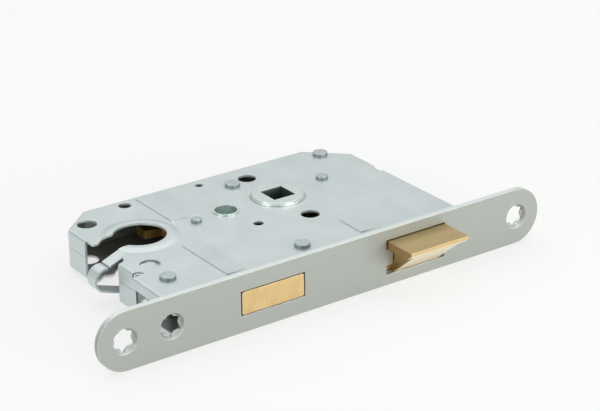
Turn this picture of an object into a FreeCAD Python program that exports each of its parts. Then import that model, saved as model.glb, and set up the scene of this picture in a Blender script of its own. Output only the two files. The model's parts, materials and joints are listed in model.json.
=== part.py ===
import FreeCAD, Part
import math
import os
import Sketcher

from FreeCAD import Placement, Rotation, Vector

# Frame of the lock, in millimetres. The lock lies on its side.
# X runs along the forend, towards the latch end. X = 0 is the follower's axis.
# Y runs from the forend's outer face (Y = 0) into the door.
# Z runs through the thickness of the case. Z = 0 is its middle plane.

SIZES = {
    # Forend
    "forend_above": 74.0,
    "forend_below": 100.0,
    "forend_width": 20.0,
    "forend_thick": 2.0,
    "top_screw_at": 64.3,
    "bottom_screw_at": 90.5,
    "countersink_radius": 4.4,
    "countersink_depth": 1.4,
    "star_outer_radius": 4.2,
    "star_inner_radius": 2.95,
    "star_throat_radius": 3.6,
    "petal_round": 0.9,
    # Places of the follower and the cylinder
    "backset": 50.0,
    "centre_distance": 55.0,
    "cylinder_screw_drop": 18.9,
    "rose_hole_spacing": 38.0,
    "rose_hole_radius": 3.25,
    # Depths from the follower's axis towards the rear
    "case_rear": 28.7,
    "access_hole_deep": 18.3,
    "gauge_hole_deep": 24.2,
    "rear_hole_deep": 23.9,
    "rear_swage_start": 3.2,
    "rear_swage_end": 26.1,
    "spring_post_deep": 16.6,
    "bolt_guide_deep": -1.7,
    "rear_post_deep": 21.3,
    "bolt_tail_end": 18.0,
    # Case
    "case_thick": 13.8,
    "sheet_thick": 0.8,
    "case_above": 43.5,
    "end_past_cylinder": 16.8,
    "top_corner_along": 13.5,
    "top_corner_deep": 12.7,
    "bottom_corner_along": 11.6,
    "bottom_corner_deep": 10.3,
    "seam_height": 0.9,
    "seam_gap": 0.12,
    "fold_radius": 1.1,
    "front_gap": 0.05,
    "corner_relief_radius": 0.7,
    "foot_height": 11.0,
    "end_foot_inset": 2.0,
    "end_foot_end": 19.0,
    "foot_past_deadbolt": 16.5,
    "foot_before_latch": 16.6,
    "top_foot_start": 7.0,
    "top_foot_gap": 1.0,
    "front_wall_step": 1.7,
    "front_wall_deep": 24.2,
    "screw_channel_half": 3.3,
    "side_wall_set_in": 0.9,
    "side_wall_start": 25.3,
    "side_wall_end": 35.7,
    "slit_width": 0.9,
    "end_notch_deep": 1.8,
    "end_notch_width": 5.4,
    "end_notch_at": 49.3,
    # Cylinder hole with its collar, neck and arched strip
    "cylinder_hole_radius": 8.9,
    "neck_half": 5.2,
    "neck_wall_edge": 7.0,
    "tongue_start": 5.6,
    "tongue_end": 2.8,
    "tongue_drop": 2.3,
    "collar_rise": 0.6,
    "collar_radius": 13.2,
    "collar_slope": 2.2,
    "collar_bend": 0.3,
    "arch_inner_radius": 3.4,
    "arch_width": 5.0,
    "arch_seam_angle": 75.0,
    "strip_slope_start": 5.6,
    "strip_root": 0.5,
    "strip_tilt": 20.0,
    "strip_past_screw": 1.6,
    "strip_over_screw": 0.55,
    "window_slot_deep": 3.8,
    "window_lip": 1.4,
    "window_shoulder": 3.0,
    "window_shoulder_rise": 1.0,
    "window_end_flat": 0.5,
    # Small openings of the case
    "access_hole_radius": 3.4,
    "access_hole_along": 64.4,
    "gauge_hole_radius": 2.25,
    "gauge_hole_along": 46.4,
    "rear_hole_radius": 1.45,
    "rear_hole_along": 16.7,
    "front_hole_radius": 1.8,
    "front_hole_along": 18.2,
    "front_hole_deep": 35.1,
    "crescent_radius": 2.6,
    "crescent_width": 1.7,
    "crescent_past_cylinder": 8.6,
    "crescent_deep": 29.4,
    "small_crescent_radius": 1.9,
    "small_crescent_width": 1.3,
    "small_crescent_from_end": 0.9,
    "small_crescent_deep": 24.6,
    "swage_depth": 0.4,
    "rear_swage_along": 40.8,
    "rear_swage_length": 12.0,
    "front_swage_along": 48.3,
    "front_swage_start": 8.3,
    "front_swage_end": 34.8,
    "front_swage_length": 8.0,
    "latch_swage_along": -4.6,
    "latch_swage_start": 8.7,
    "latch_swage_end": 20.3,
    "latch_swage_length": 7.0,
    # Follower
    "journal_radius": 9.5,
    "journal_clearance": 0.1,
    "journal_proud": 1.1,
    "journal_round": 0.7,
    "spindle_square": 8.4,
    "spindle_lead": 0.15,
    "hub_radius": 11.0,
    "running_gap": 0.2,
    "follower_turn": 45.0,
    "arm_reach": 16.4,
    "arm_end_radius": 1.5,
    "arm_root_half": 3.6,
    "arm_root_sunk": 3.0,
    "arm_half_thick": 3.0,
    "spring_arm_reach": 13.0,
    "spring_arm_angle": 130.0,
    # Tube between follower and cylinder
    "tube_along": 21.3,
    "tube_outer_radius": 4.6,
    "tube_bore_radius": 3.9,
    "tube_proud": 0.45,
    # Riveted posts
    "post_body_radius": 2.0,
    "post_tenon_radius": 1.4,
    "post_fit": 0.05,
    "post_head_radius": 2.65,
    "post_head_height": 1.35,
    "post_head_edge": 0.25,
    "bolt_guide_head_radius": 1.8,
    "latch_post_head_radius": 2.1,
    "latch_post_body_radius": 1.7,
    "spring_post_along": 7.6,
    "bolt_guide_along": 34.1,
    "corner_post_from_end": 7.3,
    "corner_post_deep": 17.3,
    "tumbler_post_along": 16.8,
    "tumbler_post_deep": 11.9,
    "rear_post_along": 33.3,
    "latch_post_along": 21.2,
    "latch_post_deep": 53.5,
    # Latch
    "latch_middle": 20.6,
    "latch_width": 23.8,
    "latch_half_thick": 5.95,
    "latch_opening_side": 0.4,
    "latch_opening_gap": 0.3,
    "latch_reach": 12.6,
    "latch_nose": 1.1,
    "latch_inside": 14.0,
    "latch_flange": 2.85,
    "latch_tab_length": 2.7,
    "latch_tab_half": 2.8,
    "latch_tab_round": 1.0,
    "latch_tab_gap": 0.3,
    "latch_tail_width": 6.8,
    "latch_tail_thick": 1.8,
    "latch_tail_at": 15.4,
    "tail_floor_gap": 0.2,
    "tail_slot_gap": 0.05,
    "tail_grip": 8.8,
    "lug_width": 3.2,
    "lug_thick": 2.0,
    "lug_contact_gap": 0.38,
    "rod_at": 23.5,
    "rod_radius": 1.4,
    "rod_grip": 7.0,
    "rod_length": 31.5,
    "rod_lead": 0.5,
    "rod_slide_gap": 0.15,
    "latch_spring_radius": 3.0,
    "latch_spring_wire": 0.9,
    "latch_spring_turns": 6.0,
    "bracket_deep": 35.2,
    "bracket_width": 7.0,
    "bracket_past_spring": 1.6,
    "bracket_thick": 1.2,
    "bracket_base": 8.0,
    "rivet_radius": 1.2,
    "latch_rivet_near": 2.4,
    "latch_rivet_far": 6.2,
    "latch_rivet_rise": 3.0,
    # Deadbolt
    "deadbolt_middle": 36.5,
    "deadbolt_width": 23.6,
    "deadbolt_half_thick": 3.95,
    "deadbolt_side_gap": 0.5,
    "deadbolt_face_gap": 0.35,
    "deadbolt_length": 26.0,
    "deadbolt_round": 0.8,
    "deadbolt_throw": 14.0,
    "bolt_tail_thick": 3.0,
    "bolt_tail_width": 18.5,
    "bolt_tail_grip": 10.0,
    "bolt_rivets_deep": 5.0,
    "guide_slot_gap": 0.15,
    "guide_end_play": 0.2,
    "cam_notch_deep": 6.0,
    "cam_notch_half": 5.5,
    "cam_notch_slope": 1.5,
    "bolt_rivet_radius": 1.5,
    "bolt_rivet_spread": 11.0,
    # Tumbler
    "tumbler_thick": 1.5,
    "tumbler_tail_gap": 0.3,
    "tumbler_eye_radius": 4.0,
    "stud_radius": 1.5,
    "stud_deep": 36.0,
    "stud_gap": 0.3,
    "stud_head_edge": 0.6,
    "stud_head_height": 0.6,
    "tumbler_ear_deep": 24.8,
    "tumbler_ear_half": 1.8,
    "tumbler_ear_thick": 0.8,
    "ear_leg_gap": 0.3,
    "ear_top_gap": 0.6,
    "belly_past_bolt": 7.1,
    "belly_width": 3.8,
    "tumbler_over_head": 0.8,
    "spring_leg_gap": 0.1,
    "spring_leg_overrun": 1.0,
    "follower_spring_radius": 3.0,
    "follower_spring_wire": 0.9,
    "follower_spring_pitch": 1.1,
    "follower_spring_turns": 3.0,
    "tumbler_spring_radius": 2.9,
    "tumbler_spring_wire": 0.6,
    "tumbler_spring_pitch": 0.75,
}

doc = FreeCAD.newDocument("DoorLock")
table = doc.addObject("Spreadsheet::Sheet", "Sizes")
for row, (alias, number) in enumerate(SIZES.items(), start=1):
    table.set("A%d" % row, alias.replace("_", " "))
    table.set("B%d" % row, str(number))
    table.setAlias("B%d" % row, alias)
doc.recompute()


# A size with its formula
class Size:
    """A length or an angle that knows the formula which binds it to the sheet."""

    def __init__(self, value, text):
        self.value = float(value)
        self.text = text

    def joined(self, other, sign, value):
        return Size(value, "(%s %s %s)" % (self.text, sign, other.text))

    def __add__(self, other):
        other = as_size(other)
        return self.joined(other, "+", self.value + other.value)

    def __sub__(self, other):
        other = as_size(other)
        return self.joined(other, "-", self.value - other.value)

    def __mul__(self, other):
        other = as_size(other)
        return self.joined(other, "*", self.value * other.value)

    def __truediv__(self, other):
        other = as_size(other)
        return self.joined(other, "/", self.value / other.value)

    def __neg__(self):
        return as_size(0) - self

    __radd__ = __add__

    def __rsub__(self, other):
        return as_size(other) - self

    def __rmul__(self, other):
        return self * other


def as_size(number):
    if isinstance(number, Size):
        return number
    return Size(number, repr(float(number)))


def cell(alias):
    return Size(SIZES[alias], "Sizes." + alias)


def sine(angle):
    return Size(math.sin(math.radians(angle.value)), "sin(%s * 1 deg)" % angle.text)


def cosine(angle):
    return Size(math.cos(math.radians(angle.value)), "cos(%s * 1 deg)" % angle.text)


def square_root(size):
    return Size(math.sqrt(size.value), "sqrt(%s)" % size.text)


def polar(reach, angle):
    angle = as_size(angle)
    return (as_size(reach) * cosine(angle), as_size(reach) * sine(angle))


def bind(target, path, size):
    target.setExpression(path, as_size(size).text)


# Bodies, sketches and features
def new_body(label, at=None, turn=None):
    body = doc.addObject("PartDesign::Body", label)
    body.Label = label
    if turn is not None:
        body.Placement = Placement(Vector(), turn)
    if at is not None:
        for axis, size in zip("xyz", at):
            bind(body, "Placement.Base." + axis, size)
    return body


def new_sketch(body, role, shift=(0, 0, 0)):
    """A sketch on one of the body's own planes, shifted in the plane's own axes."""
    base = next(f for f in body.Origin.OriginFeatures if f.Role == role)
    sketch = body.newObject("Sketcher::SketchObject", body.Label + "_sketch")
    sketch.AttachmentSupport = [(base, "")]
    sketch.MapMode = "FlatFace"
    sketch.AttachmentOffset = Placement(Vector(*[as_size(s).value for s in shift]), Rotation())
    for axis, size in zip("xyz", shift):
        bind(sketch, "AttachmentOffset.Base." + axis, size)
    return sketch


def pin_point(sketch, edge, end, x, y):
    """Ties one point of the sketch to its place, measured from the sketch's origin."""
    for kind, size, axis in (("DistanceX", x, -2), ("DistanceY", y, -1)):
        if abs(size.value) < 1e-9:
            sketch.addConstraint(Sketcher.Constraint("PointOnObject", edge, end, axis))
            continue
        index = sketch.addConstraint(Sketcher.Constraint(kind, -1, 1, edge, end, size.value))
        bind(sketch, "Constraints[%d]" % index, size)


def outline(sketch, points):
    """A closed outline of straight edges."""
    points = [(as_size(x), as_size(y)) for x, y in points]
    first = sketch.GeometryCount
    corners = [Vector(x.value, y.value, 0) for x, y in points]
    count = len(corners)
    for i in range(count):
        sketch.addGeometry(Part.LineSegment(corners[i], corners[(i + 1) % count]), False)
    for i in range(count):
        following = first + (i + 1) % count
        sketch.addConstraint(Sketcher.Constraint("Coincident", first + i, 2, following, 1))
    for i, (x, y) in enumerate(points):
        pin_point(sketch, first + i, 1, x, y)
    return sketch


def circle(sketch, x, y, radius):
    x, y, radius = as_size(x), as_size(y), as_size(radius)
    centre = Vector(x.value, y.value, 0)
    edge = sketch.addGeometry(Part.Circle(centre, Vector(0, 0, 1), radius.value), False)
    pin_point(sketch, edge, 3, x, y)
    index = sketch.addConstraint(Sketcher.Constraint("Radius", edge, radius.value))
    bind(sketch, "Constraints[%d]" % index, radius)
    return sketch


def rectangle(sketch, x_low, x_high, y_low, y_high):
    return outline(sketch, [(x_low, y_low), (x_high, y_low), (x_high, y_high), (x_low, y_high)])


def grow(body, kind, sketch, length, along=None, both=False):
    """A pad or a pocket of a stated length. Unless told, a pad grows along the sketch's
    normal and a pocket cuts against it."""
    feature = body.newObject("PartDesign::" + kind, body.Label + "_" + kind.lower())
    feature.Profile = sketch
    feature.Type = "Length"
    feature.Length = as_size(length).value
    bind(feature, "Length", length)
    feature.Midplane = both
    if along is None:
        along = kind == "Pad"
    feature.Reversed = along if kind == "Pocket" else not along
    body.Tip = feature
    return feature


def turn_round(body, sketch, kind="Revolution"):
    """Turns the sketch round its own upright axis."""
    feature = body.newObject("PartDesign::" + kind, body.Label + "_" + kind.lower())
    feature.Profile = sketch
    feature.ReferenceAxis = (sketch, ["V_Axis"])
    feature.Angle = 360
    body.Tip = feature
    return feature


def round_edges(body, radius, wanted, kind="Fillet"):
    """Rounds or chamfers the edges of the body so far that the test picks out."""
    doc.recompute()
    base = body.Tip
    names = ["Edge%d" % (i + 1) for i, edge in enumerate(base.Shape.Edges) if wanted(edge)]
    feature = body.newObject("PartDesign::" + kind, body.Label + "_" + kind.lower())
    feature.Base = (base, names)
    path = "Radius" if kind == "Fillet" else "Size"
    setattr(feature, path, as_size(radius).value)
    bind(feature, path, radius)
    body.Tip = feature
    return feature


def edge_runs(edge, axis):
    """True if a straight edge runs along the given axis."""
    if edge.Curve.TypeId != "Part::GeomLine":
        return False
    span = edge.Vertexes[-1].Point - edge.Vertexes[0].Point
    return abs(abs(span[axis]) - span.Length) < 1e-6


def turned_body(label, profile, at=None, turn=None):
    body = new_body(label, at, turn)
    turn_round(body, outline(new_sketch(body, "XZ_Plane"), profile))
    return body


def behind(alias):
    """The depth of what keeps its distance from the follower's axis."""
    return cell("backset") + cell(alias)


# Sizes that several pieces share
half_case = cell("case_thick") / 2
inside = half_case - cell("sheet_thick")
front = cell("forend_thick") + cell("front_gap")
cylinder_x = -cell("centre_distance")
case_below = cell("centre_distance") + cell("end_past_cylinder")
beyond = -case_below - cell("front_wall_step") * 2
screw_x = cylinder_x - cell("cylinder_screw_drop")
strip_rear = cell("backset") - cell("neck_half")
strip_front = strip_rear - cell("arch_width")
half_turn = cell("follower_turn") / 2

POSTS = {
    "spring_post": (-cell("spring_post_along"), behind("spring_post_deep"),
                    cell("post_body_radius"), cell("post_head_radius")),
    "bolt_guide_post": (-cell("bolt_guide_along"), behind("bolt_guide_deep"),
                        cell("post_body_radius"), cell("bolt_guide_head_radius")),
    "corner_post": (cell("corner_post_from_end") - case_below, cell("corner_post_deep"),
                    cell("post_body_radius"), cell("post_head_radius")),
    "tumbler_post": (-cell("tumbler_post_along"), cell("tumbler_post_deep"),
                     cell("post_body_radius"), cell("post_head_radius")),
    "rear_post": (cell("rear_post_along"), behind("rear_post_deep"),
                  cell("post_body_radius"), cell("post_head_radius")),
    "latch_post": (cell("latch_post_along"), cell("latch_post_deep"),
                   cell("latch_post_body_radius"), cell("latch_post_head_radius")),
}


def tenon_radius(head_radius):
    """The tenon of a post is a share of its riveted head."""
    return head_radius * (cell("post_tenon_radius") / cell("post_head_radius"))


# Forend
def make_forend():
    body = new_body("forend")
    radius = cell("forend_width") / 2
    plate = new_sketch(body, "XZ_Plane")
    low = radius - cell("forend_below")
    high = cell("forend_above") - radius
    rectangle(plate, low, high, -radius, radius)
    grow(body, "Pad", plate, cell("forend_thick"), along=False)
    for x in (low, high):
        end = circle(new_sketch(body, "XZ_Plane"), x, 0, radius)
        grow(body, "Pad", end, cell("forend_thick"), along=False)
    deadbolt_hole = new_sketch(body, "XZ_Plane")
    half_width = cell("deadbolt_width") / 2 + cell("deadbolt_side_gap")
    half_height = cell("deadbolt_half_thick") + cell("deadbolt_face_gap")
    middle = -cell("deadbolt_middle")
    rectangle(deadbolt_hole, middle - half_width, middle + half_width, -half_height, half_height)
    grow(body, "Pocket", deadbolt_hole, cell("forend_thick"), along=False)
    latch_hole = new_sketch(body, "XZ_Plane")
    latch_hole_outline(latch_hole)
    grow(body, "Pocket", latch_hole, cell("forend_thick"), along=False)
    round_edges(body, cell("latch_tab_round"), is_tab_corner)
    for x in (cell("top_screw_at"), -cell("bottom_screw_at"), screw_x):
        star_hole(body, x)
    return body


def latch_hole_outline(sketch):
    """The latch's opening, with a guide tab in the middle of each end."""
    half_width = cell("latch_width") / 2 + cell("latch_opening_side")
    half_height = cell("latch_half_thick") + cell("latch_opening_gap")
    tab = cell("latch_tab_length")
    tab_half = cell("latch_tab_half")
    low = cell("latch_middle") - half_width
    high = cell("latch_middle") + half_width
    outline(sketch, [
        (low, -half_height), (high, -half_height),
        (high, -tab_half), (high - tab, -tab_half), (high - tab, tab_half), (high, tab_half),
        (high, half_height), (low, half_height),
        (low, tab_half), (low + tab, tab_half), (low + tab, -tab_half), (low, -tab_half)])


def is_tab_corner(edge):
    if not edge_runs(edge, 1):
        return False
    middle = edge.CenterOfMass
    half_width = SIZES["latch_width"] / 2 + SIZES["latch_opening_side"] - SIZES["latch_tab_length"]
    on_tab = abs(abs(middle.x - SIZES["latch_middle"]) - half_width) < 1e-6
    return on_tab and abs(abs(middle.z) - SIZES["latch_tab_half"]) < 1e-6


def star_hole(body, x):
    """A dished screw hole with six pressed petals."""
    star = new_sketch(body, "XZ_Plane", shift=(x, 0, 0))
    points = []
    for point in range(6):
        points.append(polar(cell("star_outer_radius"), 30 + 60 * point))
        points.append(polar(cell("star_inner_radius"), 60 + 60 * point))
    outline(star, points)
    grow(body, "Pocket", star, cell("forend_thick"), along=False)

    def is_petal_tip(edge):
        if not edge_runs(edge, 1):
            return False
        middle = edge.CenterOfMass
        reach = math.hypot(middle.x - x.value, middle.z)
        return abs(reach - SIZES["star_inner_radius"]) < 1e-6

    round_edges(body, cell("petal_round"), is_petal_tip)
    dish = new_sketch(body, "XY_Plane", shift=(x, 0, 0))
    outline(dish, [(0, 0), (cell("countersink_radius"), 0),
                   (cell("star_throat_radius"), cell("countersink_depth")),
                   (0, cell("countersink_depth"))])
    turn_round(body, dish, "Groove")


# Case shells
def case_outline():
    """The outline that both shells share, seen from above."""
    bottom = -case_below
    rear = behind("case_rear")
    top = cell("case_above")
    step_x = bottom - cell("front_wall_step")
    return [
        (step_x, front), (step_x, cell("front_wall_deep")), (bottom, cell("side_wall_start")),
        (bottom, rear - cell("bottom_corner_deep")),
        (bottom + cell("bottom_corner_along"), rear),
        (top - cell("top_corner_along"), rear),
        (top, rear - cell("top_corner_deep")), (top, front)]


def make_shell(label, side):
    """One half of the case: side is 1 for the upper shell and -1 for the lower one."""
    body = new_body(label)
    rim_z = cell("seam_height") + cell("seam_gap") / 2 * side
    face_z = half_case * side
    wall_height = half_case - rim_z * side
    block = outline(new_sketch(body, "XY_Plane", shift=(0, 0, rim_z)), case_outline())
    grow(body, "Pad", block, wall_height, along=side > 0)

    def is_fold(edge):
        points = [v.Point for v in edge.Vertexes]
        if not all(abs(p.z - face_z.value) < 1e-6 for p in points):
            return False
        low, high = min(p.y for p in points), max(p.y for p in points)
        open_front = high < front.value + 1e-6
        step = low > SIZES["front_wall_deep"] - 1e-6 and high < SIZES["side_wall_start"] + 1e-6
        return not open_front and not step

    round_edges(body, cell("fold_radius"), is_fold)
    hollow_out(body, side, rim_z)
    cut_case_openings(body, side, rim_z)
    raise_collar(body, side)
    cut_neck(body, side, rim_z)
    add_neck_strips(body, side)
    return body


def hollow_out(body, side, rim_z):
    """Leaves the sheet: the block opens at its rim and towards the forend."""
    corners = case_outline()
    distances = [cell("sheet_thick")] * len(corners)
    distances[-1] = as_size(-1)
    sketch = new_sketch(body, "XY_Plane", shift=(0, 0, rim_z - side))
    outline(sketch, moved_inwards(corners, distances))
    grow(body, "Pocket", sketch, inside + 1 - rim_z * side, along=side > 0)


def moved_inwards(corners, distances):
    """The clockwise outline with each edge moved to its right by its own distance."""
    count = len(corners)
    normals = []
    for i in range(count):
        dx = corners[(i + 1) % count][0] - corners[i][0]
        dy = corners[(i + 1) % count][1] - corners[i][1]
        length = square_root(dx * dx + dy * dy)
        normals.append((dy / length, -dx / length))
    moved = []
    for i in range(count):
        (ax, ay), (bx, by) = normals[i - 1], normals[i]
        cross = ax * by - ay * bx
        a, b = distances[i - 1], distances[i]
        moved.append((corners[i][0] + (a * by - b * ay) / cross,
                      corners[i][1] + (b * ax - a * bx) / cross))
    return moved


def plate_cut(body, side, draw, depth=None):
    """Cuts a drawn shape through the flat plate of a shell, from its outer face inwards."""
    sketch = new_sketch(body, "XY_Plane", shift=(0, 0, half_case * side))
    draw(sketch)
    grow(body, "Pocket", sketch, depth or cell("sheet_thick") * 1.5, along=side < 0)


def cut_case_openings(body, side, rim_z):
    through = half_case * 2
    plate_holes = [
        (0, cell("backset") - cell("rose_hole_spacing") / 2, cell("rose_hole_radius")),
        (0, cell("backset") + cell("rose_hole_spacing") / 2, cell("rose_hole_radius")),
        (0, cell("backset"), cell("journal_radius") + cell("journal_clearance")),
        (-cell("tube_along"), cell("backset"), cell("tube_outer_radius") + cell("post_fit")),
        (-cell("access_hole_along"), behind("access_hole_deep"), cell("access_hole_radius")),
    ]
    if side > 0:
        plate_holes += [
            (-cell("gauge_hole_along"), behind("gauge_hole_deep"), cell("gauge_hole_radius")),
            (-cell("rear_hole_along"), behind("rear_hole_deep"), cell("rear_hole_radius")),
            (-cell("front_hole_along"), cell("front_hole_deep"), cell("front_hole_radius")),
        ]
    for x, y, body_radius, head_radius in POSTS.values():
        plate_holes.append((x, y, tenon_radius(head_radius) + cell("post_fit")))

    def draw_holes(sketch):
        for x, y, radius in plate_holes:
            circle(sketch, x, y, radius)

    plate_cut(body, side, draw_holes)
    bottom = -case_below
    rear = behind("case_rear")
    top = cell("case_above")

    def draw_edge_cuts(sketch):
        """What is cut through plate and flange alike."""
        rectangle(sketch, top - cell("end_notch_deep"), top + 1,
                  cell("end_notch_at") - cell("end_notch_width") / 2,
                  cell("end_notch_at") + cell("end_notch_width") / 2)
        for x, y in ((bottom, rear - cell("bottom_corner_deep")),
                     (bottom + cell("bottom_corner_along"), rear),
                     (top - cell("top_corner_along"), rear),
                     (top, rear - cell("top_corner_deep"))):
            circle(sketch, x, y, cell("corner_relief_radius"))

    sketch = new_sketch(body, "XY_Plane", shift=(0, 0, half_case * side))
    draw_edge_cuts(sketch)
    grow(body, "Pocket", sketch, through, along=side < 0)
    channel_cut(body, side, rim_z)
    window_cut(body, side)
    for draw in (draw_crescent, draw_small_crescent):
        plate_cut(body, side, draw, cell("sheet_thick") * 2)
    if side > 0:
        for name, place in (("rear", behind), ("front", cell), ("latch", cell)):
            swage(body, -cell(name + "_swage_along"), place(name + "_swage_start"),
                  place(name + "_swage_end"), cell(name + "_swage_length"))


def channel_cut(body, side, rim_z):
    """The cylinder's fixing screw runs past the end wall: the wall is open beside it."""
    bottom = -case_below
    low = rim_z - 1 * side
    high = cell("screw_channel_half") * side
    span = sorted((low, high), key=lambda size: size.value)
    sketch = new_sketch(body, "XZ_Plane", shift=(0, 0, -front + 1))
    rectangle(sketch, beyond, bottom + cell("sheet_thick"), span[0], span[1])
    grow(body, "Pocket", sketch, cell("front_wall_deep") - front + 2, along=False)


def window_cut(body, side):
    """The slit beside the stepped wall and the window in front of the arched strip."""
    bottom = -case_below
    sketch = new_sketch(body, "XY_Plane", shift=(0, 0, half_case * side))
    slit_high = cell("front_wall_deep") + cell("slit_width")
    rectangle(sketch, beyond, bottom + cell("sheet_thick") * 1.6, cell("front_wall_deep"), slit_high)
    outline(sketch, [
        (beyond, cell("side_wall_end")),
        (bottom + cell("window_lip"), cell("side_wall_end")),
        (bottom + cell("window_shoulder"), cell("side_wall_end") + cell("window_shoulder_rise")),
        (bottom + cell("window_slot_deep"), strip_front - cell("window_end_flat")),
        (bottom + cell("window_slot_deep"), strip_front),
        (beyond, strip_front)])
    grow(body, "Pocket", sketch, half_case * 2, along=side < 0)
    trim = new_sketch(body, "XY_Plane", shift=(0, 0, half_case * side))
    rectangle(trim, beyond, bottom + cell("side_wall_set_in") - cell("sheet_thick"),
              slit_high, cell("side_wall_end"))
    grow(body, "Pocket", trim, half_case * 2, along=side < 0)


def ring_sector(sketch, x, y, radius, width, start, end, steps=10):
    """A curved slot, drawn as a run of short chords."""
    outer = radius + width / 2
    inner = radius - width / 2
    angles = [start + (end - start) * i / steps for i in range(steps + 1)]
    points = []
    for angle in angles:
        dx, dy = polar(outer, angle)
        points.append((x + dx, y + dy))
    for angle in reversed(angles):
        dx, dy = polar(inner, angle)
        points.append((x + dx, y + dy))
    outline(sketch, points)


def draw_crescent(sketch):
    ring_sector(sketch, cylinder_x - cell("crescent_past_cylinder"), cell("crescent_deep"),
                cell("crescent_radius"), cell("crescent_width"), -60, 160)


def draw_small_crescent(sketch):
    ring_sector(sketch, cell("small_crescent_from_end") - case_below, cell("small_crescent_deep"),
                cell("small_crescent_radius"), cell("small_crescent_width"), 5, 175)


def swage(body, x, low, high, length):
    """A pressed step that falls back to the face over its length."""
    sketch = new_sketch(body, "XZ_Plane", shift=(0, 0, -low))
    outline(sketch, [(x, half_case), (x + length, half_case), (x, half_case + cell("swage_depth"))])
    grow(body, "Pad", sketch, high - low, along=False)


def raise_collar(body, side):
    """The pressed collar round the cylinder hole."""
    shift = (cylinder_x, 0, -cell("backset"))
    radius = cell("collar_radius")
    disc = new_sketch(body, "XY_Plane", shift=(0, 0, half_case * side))
    circle(disc, cylinder_x, cell("backset"), radius)
    grow(body, "Pocket", disc, cell("sheet_thick"), along=side < 0)
    hole = cell("cylinder_hole_radius")
    slope = cell("collar_slope")
    rise = cell("collar_rise")
    bend = cell("collar_bend")
    ring = new_sketch(body, "XZ_Plane", shift=shift)
    outline(ring, [
        (hole, (inside + rise) * side), (radius - slope - bend, (inside + rise) * side),
        (radius - bend, inside * side), (radius, inside * side),
        (radius, half_case * side), (radius - slope, (half_case + rise) * side),
        (hole, (half_case + rise) * side)])
    turn_round(body, ring)


def cut_neck(body, side, rim_z):
    """The cylinder's flat part leaves through the case's end."""
    bottom = -case_below
    y = cell("backset")
    half = cell("neck_half")
    top = half_case + cell("collar_rise") + 1
    neck = new_sketch(body, "XY_Plane", shift=(0, 0, top * side))
    outline(neck, [
        (beyond, y - half), (cylinder_x, y - half), (cylinder_x, y + half),
        (bottom + cell("tongue_start"), y + half),
        (bottom + cell("tongue_end"), y + half - cell("tongue_drop")),
        (bottom + cell("sheet_thick"), y + half - cell("tongue_drop")),
        (bottom + cell("sheet_thick"), y + cell("neck_wall_edge")),
        (beyond, y + cell("neck_wall_edge"))])
    grow(body, "Pocket", neck, top * 2, along=side < 0)
    strip = new_sketch(body, "XY_Plane", shift=(0, 0, top * side))
    rectangle(strip, beyond, bottom + cell("strip_slope_start"), strip_front, strip_rear)
    grow(body, "Pocket", strip, top * 2, along=side < 0)


ARCH_CHORDS = 10


def add_neck_strips(body, side):
    """The strip beside the neck dips towards the screw; on the lower shell it arches round it."""
    start_x = -case_below + cell("strip_slope_start")
    middle = cell("arch_inner_radius") + cell("sheet_thick") / 2
    half = cell("sheet_thick") / 2
    arch_start = 90 + SIZES["strip_tilt"]
    arch_end = 360 - SIZES["arch_seam_angle"]
    arch_top = polar(middle, arch_start)[1]
    plate_z = half_case - half
    points = [(start_x + cell("strip_root"), plate_z), (start_x, plate_z)]
    if side > 0:
        reach = (screw_x + cell("strip_past_screw"), arch_top + cell("strip_over_screw"))
        ribbon(body, points + [reach], half, side)
    else:
        for i in range(ARCH_CHORDS + 1):
            angle = arch_start + (arch_end - arch_start) * i / ARCH_CHORDS
            dx, dz = polar(middle, angle)
            points.append((screw_x + dx, dz))
        ribbon(body, points, half, side)


def ribbon(body, centre, half, side):
    """A strip of sheet that follows a bent centre line across the width of the strip."""
    outer = offset_line(centre, half)
    inner = offset_line(centre, -half)
    shape = [(x, z * side) for x, z in outer + inner[::-1]]
    sketch = new_sketch(body, "XZ_Plane", shift=(0, 0, -strip_front))
    outline(sketch, shape)
    grow(body, "Pad", sketch, cell("arch_width"), along=False)


def offset_line(centre, distance):
    """The centre line moved sideways, with the corners kept on the bisectors."""
    count = len(centre)
    moved = []
    for i, (x, z) in enumerate(centre):
        before = centre[max(i - 1, 0)]
        after = centre[min(i + 1, count - 1)]
        run = math.atan2(after[1].value - before[1].value, after[0].value - before[0].value)
        moved.append((x - distance * math.sin(run), z + distance * math.cos(run)))
    return moved


def add_feet(body):
    """Feet folded up behind the forend, between the two bolts and at each end."""
    height = cell("foot_height")
    spans = (
        (cell("end_foot_inset") - case_below, cell("end_foot_end") - case_below),
        (cell("foot_past_deadbolt") - cell("deadbolt_middle"),
         cell("latch_middle") - cell("foot_before_latch")),
        (cell("case_above") - cell("top_foot_start"), cell("case_above") - cell("top_foot_gap")))
    sketch = new_sketch(body, "XZ_Plane", shift=(0, 0, -front))
    for low, high in spans:
        rectangle(sketch, low, high, -half_case, -half_case + height)
    grow(body, "Pad", sketch, cell("sheet_thick"), along=False)


# Posts and tube
def make_post(label, x, y, body_radius, head_radius):
    """A shouldered post: its ends go through both shells and are riveted over."""
    tenon = tenon_radius(head_radius)
    edge = cell("post_head_edge")
    head = half_case + cell("post_head_height")
    half_profile = [
        (body_radius, inside), (tenon, inside), (tenon, half_case),
        (head_radius, half_case), (head_radius, head - edge), (head_radius - edge, head)]
    profile = [(0, head)] + half_profile[::-1]
    profile += [(r, -z) for r, z in half_profile] + [(0, -head)]
    return turned_body(label, profile, at=(x, y, 0))


def make_tube():
    end = half_case + cell("tube_proud")
    outer = cell("tube_outer_radius")
    bore = cell("tube_bore_radius")
    profile = [(bore, -end), (outer, -end), (outer, end), (bore, end)]
    return turned_body("through_tube", profile, at=(-cell("tube_along"), cell("backset"), 0))


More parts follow.
